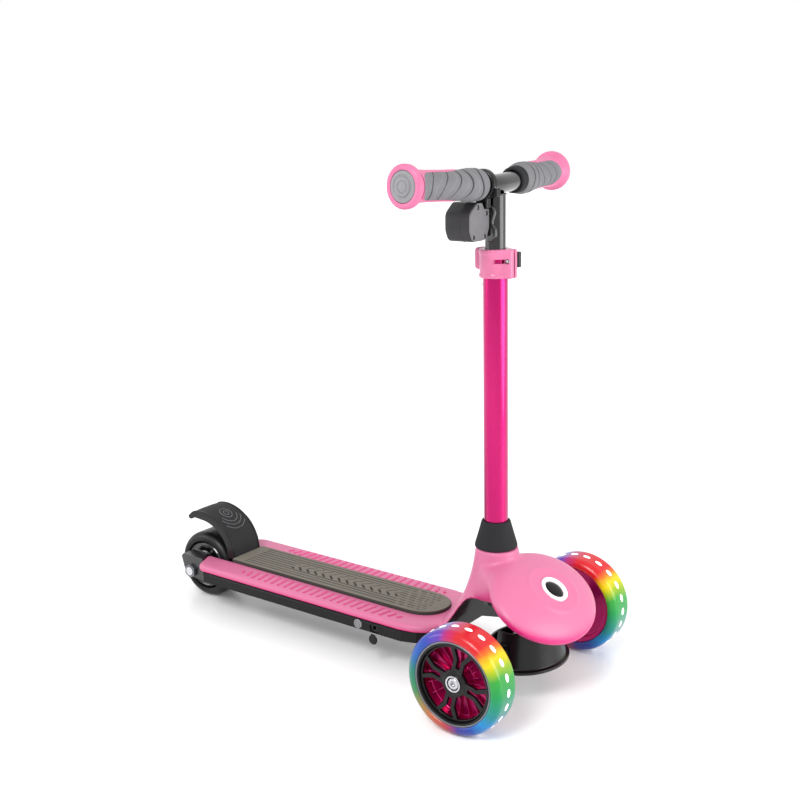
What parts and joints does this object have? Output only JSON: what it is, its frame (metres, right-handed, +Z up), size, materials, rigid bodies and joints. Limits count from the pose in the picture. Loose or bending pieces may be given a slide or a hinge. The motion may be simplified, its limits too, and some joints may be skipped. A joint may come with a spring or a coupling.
{
  "type": "kick scooter",
  "caption": "Child's lean-to-steer kick scooter with two lit front wheels, a hub-motor rear wheel, fender brake and height-adjustable handlebar",
  "frame": {"origin": "on the ground under the middle of the scooter's length and width", "axes": "+X forward, +Y to the rider's left, +Z up"},
  "size_m": [0.6154, 0.3094, 0.6088],
  "materials": {
    "pink_shell": "satin moulded pink",
    "mat_rubber": "matt ribbed grey rubber",
    "black_plastic": "fine-grained black moulding",
    "battery_wrap": "shrink wrap",
    "circuit": "solder mask",
    "black_metal": "satin black",
    "grey_plastic": "satin grey moulding",
    "dark_rubber": "matt dark rubber",
    "steel": "bright plated steel",
    "white_plastic": "gloss white",
    "lamp_lens": "dark gloss lens",
    "lit_tyre": "clear cast polyurethane over coloured light segments",
    "pink_metal": "magenta anodised",
    "dark_tyre": "smooth black polyurethane",
    "copper": "enamelled windings",
    "grip_rubber": "soft grooved grey rubber"
  },
  "bodies": {
    "chassis": {"deck_shell": "pink_shell", "deck_mat": "mat_rubber", "chassis_base": "black_plastic", "battery_cover": "black_plastic", "battery_pack": "battery_wrap", "controller_board": "circuit", "charge_socket": "black_plastic", "rear_fork": "black_metal", "head_casting": "black_metal", "kingpin": "steel", "kingpin_nut": "steel", "neck_collar": "dark_rubber", "headlight_ring": "white_plastic", "headlight_lens": "lamp_lens", "motor_stator": "copper", "rear_axle": "steel", "axle_nut_left": "steel", "axle_nut_right": "steel", "fender_hinge_pin": "steel", "steerer_outer_tube": "pink_metal", "height_clamp": "pink_shell", "clamp_bolt": "steel"},
    "power_switch": {"power_button": "grey_plastic"},
    "socket_cap": {"charge_cap": "dark_rubber"},
    "quick_lever": {"clamp_lever": "black_plastic"},
    "height_detent": {"height_button": "steel"},
    "truck": {"truck_housing": "black_plastic", "axle_beam": "black_metal", "centering_bushing": "dark_rubber", "wheel_washer_left": "steel", "wheel_bolt_left": "steel", "wheel_washer_right": "steel", "wheel_bolt_right": "steel"},
    "front_wheel_left": {"front_tyre_left": "lit_tyre", "rim_left": "pink_metal", "spoke_cover_left": "black_plastic", "outer_bearing_left": "steel", "inner_bearing_left": "steel"},
    "front_wheel_right": {"front_tyre_right": "lit_tyre", "rim_right": "pink_metal", "spoke_cover_right": "black_plastic", "outer_bearing_right": "steel", "inner_bearing_right": "steel"},
    "rear_wheel": {"rear_tyre": "dark_tyre", "motor_hub_shell": "black_metal", "rear_bearing_left": "steel", "rear_bearing_right": "steel"},
    "fender_brake": {"fender": "black_plastic", "fender_spring": "steel"},
    "handlebar": {"steerer_inner_tube": "black_metal", "crossbar": "black_metal", "grip_left": "grip_rubber", "grip_right": "grip_rubber", "throttle_clamp": "black_plastic", "throttle_housing": "grey_plastic", "throttle_cover": "grey_plastic", "display_lens": "lamp_lens"},
    "thumb_lever": {"throttle_lever": "black_plastic"}
  },
  "joints": [
    {"name": "lean_steer", "type": "hinge", "parent": "chassis", "child": "truck", "pos_m": [0.2308, 0, 0.06], "axis": [0.6428, 0, 0.766], "range_deg": [-12, 12], "stiffness_Nm_per_rad": 60},
    {"name": "front_wheel_left_spin", "type": "hinge", "parent": "truck", "child": "front_wheel_left", "pos_m": [0.2308, 0.1338, 0.06], "axis": [0, 1, 0], "continuous": true},
    {"name": "front_wheel_right_spin", "type": "hinge", "parent": "truck", "child": "front_wheel_right", "pos_m": [0.2308, -0.1338, 0.06], "axis": [0, 1, 0], "continuous": true},
    {"name": "rear_wheel_spin", "type": "hinge", "parent": "chassis", "child": "rear_wheel", "pos_m": [-0.2627, 0, 0.045], "axis": [0, 1, 0], "continuous": true},
    {"name": "fender_press", "type": "hinge", "parent": "chassis", "child": "fender_brake", "pos_m": [-0.205, 0, 0.0515], "axis": [0, -1, 0], "range_deg": [0, 8], "stiffness_Nm_per_rad": 3},
    {"name": "bar_height", "type": "slide", "parent": "chassis", "child": "handlebar", "axis": [-0.022, 0, 0.9998], "range_m": [0, 0.122]},
    {"name": "clamp_lever_swing", "type": "hinge", "parent": "chassis", "child": "quick_lever", "pos_m": [0.20305, 0.0126, 0.49783], "axis": [0.022, 0, -0.9998], "range_deg": [0, 120]},
    {"name": "height_button_press", "type": "slide", "parent": "chassis", "child": "height_detent", "axis": [0.9998, 0, 0.022], "range_m": [0, 0.003], "stiffness_N_per_m": 400},
    {"name": "throttle_press", "type": "hinge", "parent": "handlebar", "child": "thumb_lever", "pos_m": [0.16774, -0.0147, 0.54356], "axis": [0, -1, 0], "range_deg": [0, 25], "stiffness_Nm_per_rad": 0.3},
    {"name": "power_button_press", "type": "slide", "parent": "chassis", "child": "power_switch", "axis": [0, 1, 0], "range_m": [0, 0.0015], "stiffness_N_per_m": 600},
    {"name": "socket_cap_flip", "type": "hinge", "parent": "chassis", "child": "socket_cap", "pos_m": [0.058, -0.0646, 0.0413], "axis": [-1, 0, 0], "range_deg": [0, 175]}
  ]
}
